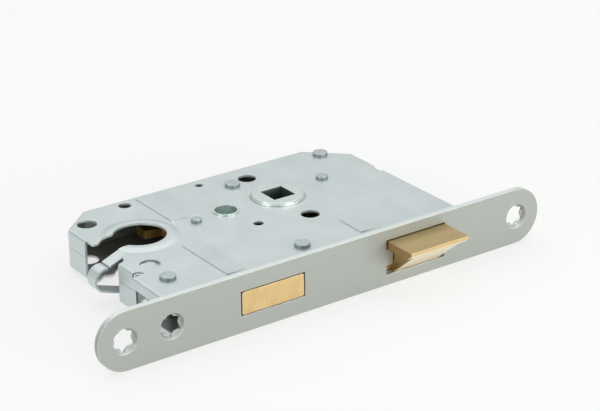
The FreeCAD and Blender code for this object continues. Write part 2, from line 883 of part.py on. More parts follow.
# Follower
def make_follower():
    body = new_body("follower", at=(0, cell("backset"), 0))
    journal_end = half_case + cell("journal_proud")
    hub_end = inside - cell("running_gap")
    journal = cell("journal_radius")
    hub = cell("hub_radius")
    edge = cell("journal_round")
    profile = [
        (0, -journal_end), (journal - edge, -journal_end), (journal, edge - journal_end),
        (journal, -hub_end), (hub, -hub_end), (hub, hub_end), (journal, hub_end),
        (journal, journal_end - edge), (journal - edge, journal_end), (0, journal_end)]
    turn_round(body, outline(new_sketch(body, "XZ_Plane"), profile))
    arm(body, cell("arm_reach"), -half_turn)
    arm(body, cell("spring_arm_reach"), cell("spring_arm_angle"))
    half = cell("spindle_square") / 2
    square = new_sketch(body, "XY_Plane", shift=(0, 0, journal_end))
    rectangle(square, -half, half, -half, half)
    grow(body, "Pocket", square, journal_end * 2)

    def is_mouth(edge):
        on_face = all(abs(abs(v.Point.z) - journal_end.value) < 1e-6 for v in edge.Vertexes)
        return on_face and (edge_runs(edge, 0) or edge_runs(edge, 1))

    round_edges(body, cell("spindle_lead"), is_mouth, kind="Chamfer")
    return body


def arm(body, reach, angle):
    """A tapered arm with a round end."""
    tip = polar(reach, angle)
    root = cell("hub_radius") - cell("arm_root_sunk")
    corners = []
    for distance, half in ((root, -cell("arm_root_half")), (reach, -cell("arm_end_radius")),
                           (reach, cell("arm_end_radius")), (root, cell("arm_root_half"))):
        along = polar(distance, angle)
        across = polar(half, angle + 90)
        corners.append((along[0] + across[0], along[1] + across[1]))
    thick = cell("arm_half_thick") * 2
    grow(body, "Pad", outline(new_sketch(body, "XY_Plane"), corners), thick, both=True)
    end = circle(new_sketch(body, "XY_Plane"), tip[0], tip[1], cell("arm_end_radius"))
    grow(body, "Pad", end, thick, both=True)


# Latch
latch_rear = cell("latch_inside")
tail_low = -inside + cell("tail_floor_gap")
tail_high = tail_low + cell("latch_tail_thick")
tail_left = cell("latch_tail_at") - cell("latch_tail_width") / 2
tail_right = cell("latch_tail_at") + cell("latch_tail_width") / 2
tail_start = latch_rear - cell("tail_grip")
latch_rivet_places = [(cell("latch_tail_at"), latch_rear - cell("latch_rivet_near")),
                      (cell("latch_tail_at"), latch_rear - cell("latch_rivet_far"))]
latch_rivet_top = tail_high + cell("latch_rivet_rise")


def make_latch_head():
    body = new_body("latch_head")
    half = cell("latch_half_thick")
    side_profile = new_sketch(body, "YZ_Plane", shift=(0, 0, cell("latch_middle")))
    outline(side_profile, [
        (-cell("latch_reach"), half - cell("latch_nose")), (0, -half), (latch_rear, -half),
        (latch_rear, half), (-cell("latch_reach"), half)])
    grow(body, "Pad", side_profile, cell("latch_width"), both=True)
    tab_reach = cell("latch_tab_length") - cell("latch_opening_side") + cell("latch_tab_gap")
    step_z = half - cell("latch_flange")
    half_width = cell("latch_width") / 2
    middle = cell("latch_middle")
    rabbet = new_sketch(body, "XZ_Plane", shift=(0, 0, -(cell("forend_thick") + cell("latch_tab_gap"))))
    rectangle(rabbet, middle - half_width - 1, middle - half_width + tab_reach, -half - 1, step_z)
    rectangle(rabbet, middle + half_width - tab_reach, middle + half_width + 1, -half - 1, step_z)
    grow(body, "Pocket", rabbet, cell("latch_reach") + cell("forend_thick") + 2, along=True)
    slot_gap = cell("tail_slot_gap")
    slot = new_sketch(body, "XY_Plane", shift=(0, 0, tail_high + slot_gap))
    rectangle(slot, tail_left - slot_gap, tail_right + slot_gap, tail_start - slot_gap, latch_rear + 1)
    grow(body, "Pocket", slot, half * 2)
    pins = new_sketch(body, "XY_Plane", shift=(0, 0, latch_rivet_top))
    for x, y in latch_rivet_places:
        circle(pins, x, y, cell("rivet_radius") + cell("post_fit"))
    grow(body, "Pocket", pins, half * 2)
    rod_hole = new_sketch(body, "XZ_Plane", shift=(0, 0, -latch_rear))
    circle(rod_hole, cell("rod_at"), 0, cell("rod_radius") + cell("post_fit"))
    grow(body, "Pocket", rod_hole, cell("rod_grip"), along=True)
    return body


def make_latch_tail():
    """The strip under the follower, with the lug that the follower's arm pulls."""
    body = new_body("latch_tail")
    contact = cell("backset") - cell("arm_reach") * sine(half_turn) + cell("arm_end_radius")
    lug_front = contact + cell("lug_contact_gap")
    lug_rear = lug_front + cell("lug_thick")
    strip = new_sketch(body, "XY_Plane", shift=(0, 0, tail_low))
    rectangle(strip, tail_left, tail_right, tail_start, lug_rear)
    grow(body, "Pad", strip, cell("latch_tail_thick"))
    lug = new_sketch(body, "XY_Plane", shift=(0, 0, tail_low))
    rectangle(lug, tail_right - cell("lug_width"), tail_right, lug_front, lug_rear)
    grow(body, "Pad", lug, cell("arm_half_thick") - tail_low)
    pins = new_sketch(body, "XY_Plane", shift=(0, 0, tail_high))
    for x, y in latch_rivet_places:
        circle(pins, x, y, cell("rivet_radius") + cell("post_fit"))
    grow(body, "Pocket", pins, cell("latch_tail_thick") * 2)
    return body


def make_rivet_pair(label, places, radius, low, high):
    pins = []
    for x, y in places:
        pin = doc.addObject("Part::Cylinder", label + "_pin")
        bind(pin, "Radius", radius)
        bind(pin, "Height", high - low)
        for axis, size in zip("xyz", (x, y, low)):
            bind(pin, "Placement.Base." + axis, size)
        pins.append(pin)
    pair = doc.addObject("Part::Compound", label)
    pair.Label = label
    pair.Links = pins
    return pair


def make_latch_rod():
    radius = cell("rod_radius")
    length = cell("rod_length")
    lead = cell("rod_lead")
    profile = [(0, 0), (radius, 0), (radius, length - lead), (radius - lead, length), (0, length)]
    start = latch_rear - cell("rod_grip") + cell("post_fit")
    return turned_body("latch_rod", profile, at=(cell("rod_at"), start, 0),
                       turn=Rotation(Vector(1, 0, 0), -90))


def make_latch_bracket():
    """The folded bracket on the tray that carries the rod and holds the spring."""
    body = new_body("latch_bracket")
    thick = cell("bracket_thick")
    deep = cell("bracket_deep")
    top = cell("latch_spring_radius") + cell("bracket_past_spring")
    profile = new_sketch(body, "YZ_Plane", shift=(0, 0, cell("rod_at")))
    outline(profile, [
        (deep, -inside), (deep + cell("bracket_base"), -inside),
        (deep + cell("bracket_base"), -inside + thick), (deep + thick, -inside + thick),
        (deep + thick, top), (deep, top)])
    grow(body, "Pad", profile, cell("bracket_width"), both=True)
    bore = new_sketch(body, "XZ_Plane", shift=(0, 0, -deep))
    circle(bore, cell("rod_at"), 0, cell("rod_radius") + cell("rod_slide_gap"))
    grow(body, "Pocket", bore, thick * 2, along=False)
    return body


# Deadbolt
bolt_x = -cell("deadbolt_middle")
bolt_tail_start = cell("deadbolt_length") - cell("bolt_tail_grip")
bolt_rivets_y = bolt_tail_start + cell("bolt_rivets_deep")
bolt_rivet_places = [(bolt_x - cell("bolt_rivet_spread") / 2, bolt_rivets_y),
                     (bolt_x + cell("bolt_rivet_spread") / 2, bolt_rivets_y)]
bolt_tail_left = bolt_x - cell("bolt_tail_width") / 2
bolt_tail_right = bolt_x + cell("bolt_tail_width") / 2


def make_deadbolt_head():
    body = new_body("deadbolt_head")
    half_width = cell("deadbolt_width") / 2
    half = cell("deadbolt_half_thick")
    bar = new_sketch(body, "XZ_Plane")
    rectangle(bar, bolt_x - half_width, bolt_x + half_width, -half, half)
    grow(body, "Pad", bar, cell("deadbolt_length"), along=False)
    round_edges(body, cell("deadbolt_round"), lambda edge: edge_runs(edge, 1))
    slot_half = cell("bolt_tail_thick") / 2 + cell("tail_slot_gap")
    slot = new_sketch(body, "XZ_Plane", shift=(0, 0, -cell("deadbolt_length")))
    rectangle(slot, bolt_x - half_width - 1, bolt_x + half_width + 1, -slot_half, slot_half)
    depth = cell("bolt_tail_grip") + cell("tail_slot_gap")
    grow(body, "Pocket", slot, depth, along=True)
    pins = new_sketch(body, "XY_Plane", shift=(0, 0, half))
    for x, y in bolt_rivet_places:
        circle(pins, x, y, cell("bolt_rivet_radius") + cell("post_fit"))
    grow(body, "Pocket", pins, half * 2)
    return body


def make_deadbolt_tail():
    """The plate that the cylinder's cam drives, guided by a slot on its post."""
    body = new_body("deadbolt_tail")
    left, right = bolt_tail_left, bolt_tail_right
    start, end = bolt_tail_start, behind("bolt_tail_end")
    notch_y = cell("backset") + cell("deadbolt_throw") / 2
    notch_half = cell("cam_notch_half")
    inner = left + cell("cam_notch_deep")
    inner_half = notch_half - cell("cam_notch_slope")
    plate = new_sketch(body, "XY_Plane")
    outline(plate, [
        (left, start), (right, start), (right, end), (left, end),
        (left, notch_y + notch_half), (inner, notch_y + inner_half),
        (inner, notch_y - inner_half), (left, notch_y - notch_half)])
    grow(body, "Pad", plate, cell("bolt_tail_thick"), both=True)
    half = cell("post_body_radius") + cell("guide_slot_gap")
    slot_x = -cell("bolt_guide_along")
    slot_low = behind("bolt_guide_deep") - cell("guide_end_play")
    slot_high = behind("bolt_guide_deep") + cell("deadbolt_throw") + cell("guide_end_play")
    slot = new_sketch(body, "XY_Plane", shift=(0, 0, cell("bolt_tail_thick") / 2))
    rectangle(slot, slot_x - half, slot_x + half, slot_low, slot_high)
    grow(body, "Pocket", slot, cell("bolt_tail_thick"))
    for y in (slot_low, slot_high):
        end_cut = new_sketch(body, "XY_Plane", shift=(0, 0, cell("bolt_tail_thick") / 2))
        circle(end_cut, slot_x, y, half)
        grow(body, "Pocket", end_cut, cell("bolt_tail_thick"))
    pins = new_sketch(body, "XY_Plane", shift=(0, 0, cell("bolt_tail_thick") / 2))
    for x, y in bolt_rivet_places:
        circle(pins, x, y, cell("bolt_rivet_radius") + cell("post_fit"))
    grow(body, "Pocket", pins, cell("bolt_tail_thick"))
    return body


# Tumbler
tumbler_low = cell("bolt_tail_thick") / 2 + cell("tumbler_tail_gap")
tumbler_high = tumbler_low + cell("tumbler_thick")
stud_x = bolt_tail_right + cell("stud_gap") + cell("stud_radius")
pivot_x = -cell("tumbler_post_along")
pivot_y = cell("tumbler_post_deep")
ear_x = pivot_x + cell("tumbler_spring_radius") - cell("tumbler_spring_wire") / 2 - cell("ear_leg_gap")


def make_tumbler():
    """The lever above the deadbolt's tail, with the belly that the cam lifts."""
    body = new_body("tumbler")
    belly_x = bolt_x - cell("belly_past_bolt")
    belly_right = belly_x + cell("belly_width")
    belly_y = cell("backset")
    clear_of_head = cell("deadbolt_length") + cell("tumbler_over_head")
    plate = new_sketch(body, "XY_Plane", shift=(0, 0, tumbler_low))
    eye = cell("tumbler_eye_radius")
    ear_y = cell("tumbler_ear_deep")
    ear_half = cell("tumbler_ear_half")
    outline(plate, [
        (pivot_x - eye * 0.9, pivot_y), (pivot_x + eye * 0.75, pivot_y),
        (ear_x, ear_y - ear_half), (ear_x, ear_y + ear_half),
        (stud_x + 3.0, cell("stud_deep") - 2), (stud_x + 2.6, cell("stud_deep") + 2.6),
        (belly_right, belly_y - 6.5), (belly_right, belly_y + 3),
        (belly_x, belly_y + 3), (belly_x, belly_y - 5), (stud_x - 9.0, clear_of_head + 4.6),
        (pivot_x - 6.2, clear_of_head)])
    grow(body, "Pad", plate, cell("tumbler_thick"))
    boss = circle(new_sketch(body, "XY_Plane", shift=(0, 0, tumbler_low)), pivot_x, pivot_y, eye)
    grow(body, "Pad", boss, cell("tumbler_thick"))
    ear = new_sketch(body, "XY_Plane", shift=(0, 0, tumbler_low))
    rectangle(ear, ear_x - cell("tumbler_ear_thick"), ear_x, ear_y - ear_half, ear_y + ear_half)
    grow(body, "Pad", ear, inside - cell("ear_top_gap") - tumbler_low)
    holes = new_sketch(body, "XY_Plane", shift=(0, 0, tumbler_high))
    circle(holes, pivot_x, pivot_y, cell("post_body_radius") + cell("post_fit"))
    circle(holes, stud_x, cell("stud_deep"), cell("stud_radius") + cell("post_fit"))
    grow(body, "Pocket", holes, cell("tumbler_thick"))
    return body


def make_tumbler_stud():
    """The stud beside the deadbolt's tail, riveted over on the tumbler."""
    radius = cell("stud_radius")
    low = -cell("bolt_tail_thick") / 2
    head = radius + cell("stud_head_edge")
    top = tumbler_high + cell("stud_head_height")
    profile = [(0, low), (radius, low), (radius, tumbler_high), (head, tumbler_high),
               (head, top), (0, top)]
    return turned_body("tumbler_stud", profile, at=(stud_x, cell("stud_deep"), 0))


# Springs
WIRE_SIDES = 10
COIL_STEP = 22.5
MITRED = 1


def sweep_wire(label, points, wire_radius, direction):
    """A wire bent along a run of points, as one solid with a ten-sided section."""
    path = Part.makePolygon(points)
    facing = Rotation(Vector(0, 0, 1), direction)
    corners = []
    for side in range(WIRE_SIDES + 1):
        angle = 2 * math.pi * side / WIRE_SIDES
        corner = Vector(wire_radius * math.cos(angle), wire_radius * math.sin(angle), 0)
        corners.append(points[0] + facing.multVec(corner))
    profile = Part.makePolygon(corners)
    shape = path.makePipeShell([profile], True, False, MITRED)
    feature = doc.addObject("Part::Feature", label)
    feature.Label = label
    feature.Shape = Part.Solid(shape) if shape.ShapeType == "Shell" else shape
    return feature


def helix_points(radius, pitch, start, end, z_low):
    """Points through the turns of a coil, from one angle to another in degrees."""
    steps = max(8, round(abs(end - start) / COIL_STEP))
    points = []
    for i in range(steps + 1):
        angle = math.radians(start + (end - start) * i / steps)
        rise = pitch * (end - start) / 360 * i / steps
        points.append(Vector(radius * math.cos(angle), radius * math.sin(angle), z_low + rise))
    return points


def make_torsion_spring(label, at, radius, wire, pitch, turns, start, legs):
    """A coil round a post with one straight leg at each end."""
    end = start + turns * 360
    z_low = -pitch * turns / 2
    coil = helix_points(radius, pitch, start, end, z_low)
    tangents = []
    for angle in (start, end):
        turn = math.radians(angle + 90)
        tangents.append(Vector(math.cos(turn), math.sin(turn), 0))
    first = coil[0] - tangents[0] * legs[0]
    last = coil[-1] + tangents[1] * legs[1]
    spring = sweep_wire(label, [first] + coil + [last], wire / 2, tangents[0])
    spring.Placement = Placement(Vector(*at), Rotation())
    return spring


def make_latch_spring():
    """A compression coil between the latch head and its bracket."""
    wire = SIZES["latch_spring_wire"]
    radius = SIZES["latch_spring_radius"]
    end_gap = SIZES["spring_leg_gap"] / 2
    length = SIZES["bracket_deep"] - SIZES["latch_inside"] - wire - end_gap * 2
    turns = SIZES["latch_spring_turns"]
    points = helix_points(radius, length / turns, 0, 360 * turns, 0)
    start = (points[1] - points[0]).normalize()
    spring = sweep_wire("latch_spring", points, wire / 2, start)
    start_y = SIZES["latch_inside"] + wire / 2 + end_gap
    spring.Placement = Placement(Vector(SIZES["rod_at"], start_y, 0),
                                 Rotation(Vector(1, 0, 0), -90))
    return spring


def make_follower_spring():
    """Its lower leg lies against the follower's spring arm, its upper leg on the rear wall."""
    radius = SIZES["follower_spring_radius"]
    wire = SIZES["follower_spring_wire"]
    arm_y = polar(cell("spring_arm_reach"), cell("spring_arm_angle"))[1].value
    lower_leg = SIZES["spring_post_deep"] - arm_y + SIZES["spring_leg_overrun"]
    start = 225.0
    wall = SIZES["case_rear"] - SIZES["sheet_thick"] - wire / 2 - SIZES["spring_leg_gap"]
    leg_start = SIZES["spring_post_deep"] + radius * math.sin(math.radians(start))
    upper_leg = (wall - leg_start) / math.sin(math.radians(135))
    turns = SIZES["follower_spring_turns"] - 45 / 360
    at = (-SIZES["spring_post_along"], behind("spring_post_deep").value, 0)
    return make_torsion_spring("follower_spring", at, radius, wire,
                               SIZES["follower_spring_pitch"], turns, start, (upper_leg, lower_leg))


def make_tumbler_spring():
    """One leg lies against the tumbler's ear, the other against the foot behind the forend."""
    radius = SIZES["tumbler_spring_radius"]
    wire = SIZES["tumbler_spring_wire"]
    start = 45.0
    leg_start = SIZES["tumbler_post_deep"] + radius * math.sin(math.radians(start))
    foot = front.value + SIZES["sheet_thick"] + wire / 2 + SIZES["spring_leg_gap"]
    short_leg = (leg_start - foot) / math.sin(math.radians(45))
    long_leg = SIZES["tumbler_ear_deep"] + SIZES["tumbler_ear_half"] - SIZES["tumbler_post_deep"]
    turns = 2 - start / 360
    middle = (tumbler_high.value + inside.value) / 2
    at = (-SIZES["tumbler_post_along"], SIZES["tumbler_post_deep"], middle)
    return make_torsion_spring("tumbler_spring", at, radius, wire, SIZES["tumbler_spring_pitch"],
                               turns, start, (short_leg, long_leg))


# The whole lock
def build():
    upper = make_shell("upper_case_shell", 1)
    lower = make_shell("lower_case_shell", -1)
    add_feet(lower)
    pieces = [make_forend(), upper, lower, make_follower(), make_tube()]
    pieces += [make_post(label, *sizes) for label, sizes in POSTS.items()]
    pieces += [make_latch_head(), make_latch_tail(), make_latch_rod(), make_latch_bracket()]
    pieces.append(make_rivet_pair("latch_rivets", latch_rivet_places, cell("rivet_radius"),
                                  tail_low, latch_rivet_top))
    pieces += [make_deadbolt_head(), make_deadbolt_tail()]
    bolt_half = cell("deadbolt_half_thick")
    pieces.append(make_rivet_pair("deadbolt_rivets", bolt_rivet_places,
                                  cell("bolt_rivet_radius"), -bolt_half, bolt_half))
    pieces += [make_tumbler(), make_tumbler_stud()]
    pieces += [make_latch_spring(), make_follower_spring(), make_tumbler_spring()]
    return pieces


def check_and_write(pieces):
    doc.recompute()
    for item in doc.Objects:
        if "Invalid" in item.State or "Error" in item.State:
            raise RuntimeError("failed: %s %s" % (item.Name, item.State))
    for item in doc.Objects:
        if item.TypeId in ("PartDesign::Pocket", "PartDesign::Groove"):
            removed = item.BaseFeature.Shape.Volume - item.Shape.Volume
            if removed < 1e-4:
                raise RuntimeError("cuts nothing: %s" % item.Name)
    for piece in pieces:
        if piece.Shape.isNull() or not piece.Shape.isValid():
            raise RuntimeError("bad shape: %s" % piece.Label)
    os.makedirs("parts", exist_ok=True)
    for piece in pieces:
        piece.Shape.exportStep("parts/%s.step" % piece.Label)


check_and_write(build())
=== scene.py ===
"""The finishes, light and camera for a mortise door lock that lies on a pale table."""

import json
import math

import bpy
from mathutils import Matrix, Vector


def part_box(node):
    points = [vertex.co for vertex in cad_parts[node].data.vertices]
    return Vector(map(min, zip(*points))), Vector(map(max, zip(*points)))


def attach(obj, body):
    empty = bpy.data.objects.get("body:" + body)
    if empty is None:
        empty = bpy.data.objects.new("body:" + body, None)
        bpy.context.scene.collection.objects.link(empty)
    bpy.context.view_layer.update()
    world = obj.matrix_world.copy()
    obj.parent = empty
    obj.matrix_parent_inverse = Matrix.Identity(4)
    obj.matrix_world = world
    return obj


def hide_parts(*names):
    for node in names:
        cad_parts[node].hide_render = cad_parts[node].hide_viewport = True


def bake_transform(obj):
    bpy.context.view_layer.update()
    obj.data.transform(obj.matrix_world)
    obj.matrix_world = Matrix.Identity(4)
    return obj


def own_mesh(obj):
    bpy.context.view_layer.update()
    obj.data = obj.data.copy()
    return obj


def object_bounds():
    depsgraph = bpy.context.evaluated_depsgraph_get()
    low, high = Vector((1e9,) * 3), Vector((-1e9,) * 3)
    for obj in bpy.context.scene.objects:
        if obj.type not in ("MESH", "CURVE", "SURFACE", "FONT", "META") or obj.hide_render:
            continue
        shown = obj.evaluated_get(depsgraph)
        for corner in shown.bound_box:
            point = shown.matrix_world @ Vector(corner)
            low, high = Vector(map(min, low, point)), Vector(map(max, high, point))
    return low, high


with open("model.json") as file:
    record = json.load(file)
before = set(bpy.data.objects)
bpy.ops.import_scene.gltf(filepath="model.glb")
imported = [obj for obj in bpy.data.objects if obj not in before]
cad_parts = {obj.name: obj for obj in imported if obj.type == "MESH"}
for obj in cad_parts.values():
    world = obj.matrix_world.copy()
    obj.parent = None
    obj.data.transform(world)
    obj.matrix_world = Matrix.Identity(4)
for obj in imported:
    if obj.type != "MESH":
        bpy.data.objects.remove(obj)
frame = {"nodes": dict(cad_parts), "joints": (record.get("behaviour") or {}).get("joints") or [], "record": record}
cad_low, cad_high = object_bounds()

MM = 0.001
X, Z = 0, 2


# Finishes
class Signal:
    """The value of one socket, so that the maths of a finish reads as arithmetic."""

    def __init__(self, finish, socket):
        self.finish = finish
        self.socket = socket

    def maths(self, operation, first, second):
        return self.finish.node("Math", {"operation": operation}, {0: first, 1: second})

    def __add__(self, other):
        return self.maths("ADD", self, other)

    def __radd__(self, other):
        return self.maths("ADD", other, self)

    def __sub__(self, other):
        return self.maths("SUBTRACT", self, other)

    def __rsub__(self, other):
        return self.maths("SUBTRACT", other, self)

    def __mul__(self, other):
        return self.maths("MULTIPLY", self, other)

    def __rmul__(self, other):
        return self.maths("MULTIPLY", other, self)


class Finish:
    """One material, built node by node. Its lengths are in millimetres."""

    EDGE_GAIN = 4
    BORE_BLUR = 0.1

    def __init__(self, name):
        self.material = bpy.data.materials.new(name)
        self.material.use_nodes = True
        self.tree = self.material.node_tree
        self.tree.nodes.clear()

    def node(self, kind, settings=None, sockets=None, out=0):
        """Adds a node: its settings first, then the values or links of its sockets."""
        made = self.tree.nodes.new("ShaderNode" + kind)
        for name, value in (settings or {}).items():
            setattr(made, name, value)
        for name, value in (sockets or {}).items():
            if isinstance(value, Signal):
                self.tree.links.new(value.socket, made.inputs[name])
            else:
                made.inputs[name].default_value = value
        return Signal(self, made.outputs[out]) if made.outputs else None

    def vectors(self, operation, *values, out=0):
        return self.node("VectorMath", {"operation": operation}, dict(enumerate(values)), out)

    def part_along(self, axis, vector):
        return self.node("SeparateXYZ", {}, {"Vector": vector}, out=axis)

    def place(self, stretch=(1, 1, 1)):
        """Where a point is on the lock, stretched along each axis."""
        spot = self.node("TexCoord", out="Object")
        return self.vectors("MULTIPLY", spot, tuple(factor / MM for factor in stretch))

    def direction(self):
        """Which way the surface looks, in the lock's own frame."""
        return self.node("TexCoord", out="Normal")

    def noise(self, size, stretch=(1, 1, 1), detail=2.0, roughness=0.5):
        """Random mottling from 0 to 1 with patches of about this size."""
        return self.node("TexNoise", {}, {"Vector": self.place(stretch), "Scale": 1 / size,
                                          "Detail": detail, "Roughness": roughness})

    def clamped(self, value):
        return self.node("Clamp", {}, {"Value": value})

    def spread(self, value, low, high):
        """Stretches what lies between low and high to 0..1."""
        return self.clamped((value - low) * (1 / (high - low)))

    def blend(self, factor, first, second):
        return self.node("Mix", {"data_type": "RGBA"}, {0: factor, 6: first, 7: second}, out=2)

    def facing(self, axis, low, high):
        """Rises to 1 as the surface turns along one of the lock's axes from low to high."""
        return self.spread(self.part_along(axis, self.direction()), low, high)

    def inner_face(self, depth, end_wall, fade):
        """1 on the faces of a folded sheet that look into the case. It fades out towards the
        end wall, where the case is open."""
        spot = self.place()
        inwards = 0 - self.part_along(Z, spot) * self.part_along(Z, self.direction())
        past_wall = self.spread(self.part_along(X, spot), end_wall, end_wall + fade)
        return self.clamped(inwards - depth) * past_wall

    def bore_wall(self, axis_place, reach):
        """1 on the walls of a hole round an axis through the thickness, 0 on all others."""
        offset = self.vectors("SUBTRACT", self.place(), axis_place)
        outwards = self.vectors("MULTIPLY", offset, (1, 1, 0))
        radius = self.vectors("LENGTH", outwards, out=1)
        along = self.vectors("DOT_PRODUCT", outwards, self.direction(), out=1)
        return self.clamped(0 - along) * self.spread(reach - radius, 0, self.BORE_BLUR)

    def soft_edge(self, radius):
        """The normal with every sharp edge rounded over."""
        return self.node("Bevel", {"samples": 4}, {"Radius": radius * MM})

    def edge_highlight(self, radius):
        """1 on the sharp edges, where a painted highlight goes, 0 on the faces."""
        flat = self.node("NewGeometry", out="Normal")
        same = self.vectors("DOT_PRODUCT", self.soft_edge(radius), flat, out=1)
        return self.clamped((1 - same) * self.EDGE_GAIN)

    def bump(self, height, distance, normal):
        return self.node("Bump", {}, {"Distance": distance * MM, "Height": height,
                                      "Normal": normal})

    def surface(self, **sockets):
        inputs = {name.replace("_", " "): value for name, value in sockets.items()}
        shader = self.node("BsdfPrincipled", {}, inputs)
        self.node("OutputMaterial", {}, {"Surface": shader})
        return self.material


def tint(red, green, blue):
    """A colour as the eye reads it on a screen, 0 to 255, made linear."""
    linear = []
    for part in (red, green, blue):
        share = part / 255
        linear.append(share / 12.92 if share <= 0.04045 else ((share + 0.055) / 1.055) ** 2.4)
    return (*linear, 1)


def sheet_zinc():
    """Bright zinc plate on rolled sheet: cool and slightly clouded, with faint rolling lines
    outside, a painted highlight on the edges and brown painted shade inside the case."""
    finish = Finish("zinc_sheet")
    clouds = finish.noise(9.0, detail=4.0)
    rolling = finish.noise(0.5, stretch=(0.04, 1, 1), detail=3.0)
    grain = finish.noise(0.22, detail=2.0)
    rubbing = finish.noise(3.2, stretch=(0.35, 1, 1), detail=6.0, roughness=0.7)
    scuffs = finish.spread(rubbing, 0.56, 0.78)
    colour = finish.blend(finish.spread(clouds, 0.3, 0.7), tint(196, 206, 206), tint(204, 213, 213))
    colour = finish.blend(scuffs * 0.12, colour, tint(172, 182, 184))
    # painted highlight: a paler colour on the sharp edges
    colour = finish.blend(finish.edge_highlight(0.3) * 0.5, colour, tint(232, 238, 240))
    # painted shade: brown on the faces that look into the case, fading out towards the open end wall
    inside_shade = finish.inner_face(depth=4, end_wall=-70, fade=12.5)
    colour = finish.blend(inside_shade * 0.85, colour, tint(118, 108, 92))
    rough = 0.38 + clouds * 0.06 + rolling * 0.05 + scuffs * 0.06
    height = rolling * 0.6 + grain * 0.4
    return finish.surface(
        Base_Color=colour, Metallic=0.72, Roughness=rough,
        Normal=finish.bump(height, 0.008, finish.soft_edge(0.18)))


def satin_forend():
    """Ground steel: fine lines along the plate, under a thin satin plating. The top edge and the
    other faces that look up carry a painted highlight, and all rims a painted highlight along the edge."""
    finish = Finish("satin_forend")
    lines = finish.noise(0.16, stretch=(0.02, 1, 1), detail=3.0)
    clouds = finish.noise(14.0, detail=3.0)
    specks = finish.spread(finish.noise(0.7, detail=2.0), 0.66, 0.76)
    colour = finish.blend(finish.spread(lines, 0.3, 0.7), tint(161, 166, 161), tint(166, 171, 166))
    colour = finish.blend(clouds * 0.2, colour, tint(152, 157, 152))
    colour = finish.blend(specks * 0.12, colour, tint(150, 153, 150))
    # painted highlight: a paler colour on the faces that look up, the top edge among them
    colour = finish.blend(finish.facing(Z, 0.3, 0.9), colour, tint(214, 221, 219))
    # painted highlight: a paler colour on the sharp edges
    colour = finish.blend(finish.edge_highlight(0.35) * 0.8, colour, tint(236, 240, 238))
    rough = 0.42 + lines * 0.06 + clouds * 0.05
    return finish.surface(
        Base_Color=colour, Metallic=0.65, Roughness=rough,
        Normal=finish.bump(lines, 0.004, finish.soft_edge(0.22)))


def polished_plate():
    """Polished plate over a casting, with a trace of orange peel and fine wiping marks. The
    top has lost some of its polish, the edges carry a painted highlight, and the walls of the spindle's square are
    rougher and darkened with painted shade."""
    finish = Finish("bright_follower")
    peel = finish.noise(1.1, detail=2.0)
    wiping = finish.noise(0.3, detail=3.0)
    colour = finish.blend(peel, tint(214, 226, 224), tint(226, 236, 234))
    # painted highlight: a paler colour on the sharp edges
    colour = finish.blend(finish.edge_highlight(0.25) * 0.4, colour, tint(238, 243, 242))
    top = finish.facing(Z, 0.5, 0.95)
    bore = finish.bore_wall(axis_place=(0, 50, 0), reach=6.3)
    rough = 0.1 + wiping * 0.12 + top * 0.12 + bore * 0.3
    # painted shade: a dark colour on the walls of the spindle's square
    colour = finish.blend(bore, colour, tint(96, 112, 107))
    return finish.surface(
        Base_Color=colour, Metallic=0.82, Roughness=rough,
        Normal=finish.bump(peel, 0.015, finish.soft_edge(0.2)))


def riveted_zinc():
    """Plated steel that a riveting tool has peened: dimpled and darker than the sheet, with
    painted shade on its sides and a painted highlight on its edges."""
    finish = Finish("zinc_rivet")
    dimples = finish.noise(0.8, detail=3.0)
    marks = finish.noise(0.25, detail=2.0)
    dents = finish.spread(dimples, 0.3, 0.7)
    colour = finish.blend(dents, tint(170, 181, 181), tint(192, 202, 202))
    # painted shade: a darker colour on the sides of the heads
    colour = finish.blend(finish.facing(Z, 0.7, 0.3), colour, tint(146, 157, 158))
    # painted highlight: a paler colour on the sharp edges
    colour = finish.blend(finish.edge_highlight(0.3) * 0.25, colour, tint(210, 218, 217))
    return finish.surface(
        Base_Color=colour, Metallic=0.85, Roughness=0.36 + marks * 0.16,
        Normal=finish.bump(dimples * 0.7 + marks * 0.3, 0.03, finish.soft_edge(0.3)))


def ground_brass(name, light, dark):
    """Brass with the fine lines of a grinder that crossed the bolts. Painted shade darkens the top and
    turns the side towards the cylinder brown, and the slope that looks down carries a painted highlight, a painted
    reflection of the table, as do the edges."""
    finish = Finish(name)
    lines = finish.noise(0.3, stretch=(1, 0.05, 0.03), detail=4.0, roughness=0.6)
    tarnish = finish.noise(6.0, detail=4.0)
    colour = finish.blend(finish.spread(lines, 0.25, 0.75), dark, light)
    colour = finish.blend(finish.spread(tarnish, 0.45, 0.8) * 0.3, colour, tint(160, 122, 74))
    # painted shade: a duller, darker colour on the faces that look up
    colour = finish.blend(finish.facing(Z, 0.5, 0.9) * 0.8, colour, tint(166, 146, 102))
    # painted shade: brown on the faces that look towards the cylinder
    colour = finish.blend(finish.facing(X, -0.5, -0.9) * 0.6, colour, tint(160, 120, 62))
    # painted highlight: a bright painted reflection of the table on the slope and other faces that look down
    colour = finish.blend(finish.facing(Z, -0.2, -0.5) * 0.8, colour, tint(250, 240, 214))
    # painted highlight: a paler colour on the sharp edges
    colour = finish.blend(finish.edge_highlight(0.3) * 0.5, colour, tint(250, 232, 196))
    rough = 0.26 + lines * 0.14 + tarnish * 0.08
    return finish.surface(
        Base_Color=colour, Metallic=0.85, Roughness=rough,
        Normal=finish.bump(lines, 0.01, finish.soft_edge(0.2)))


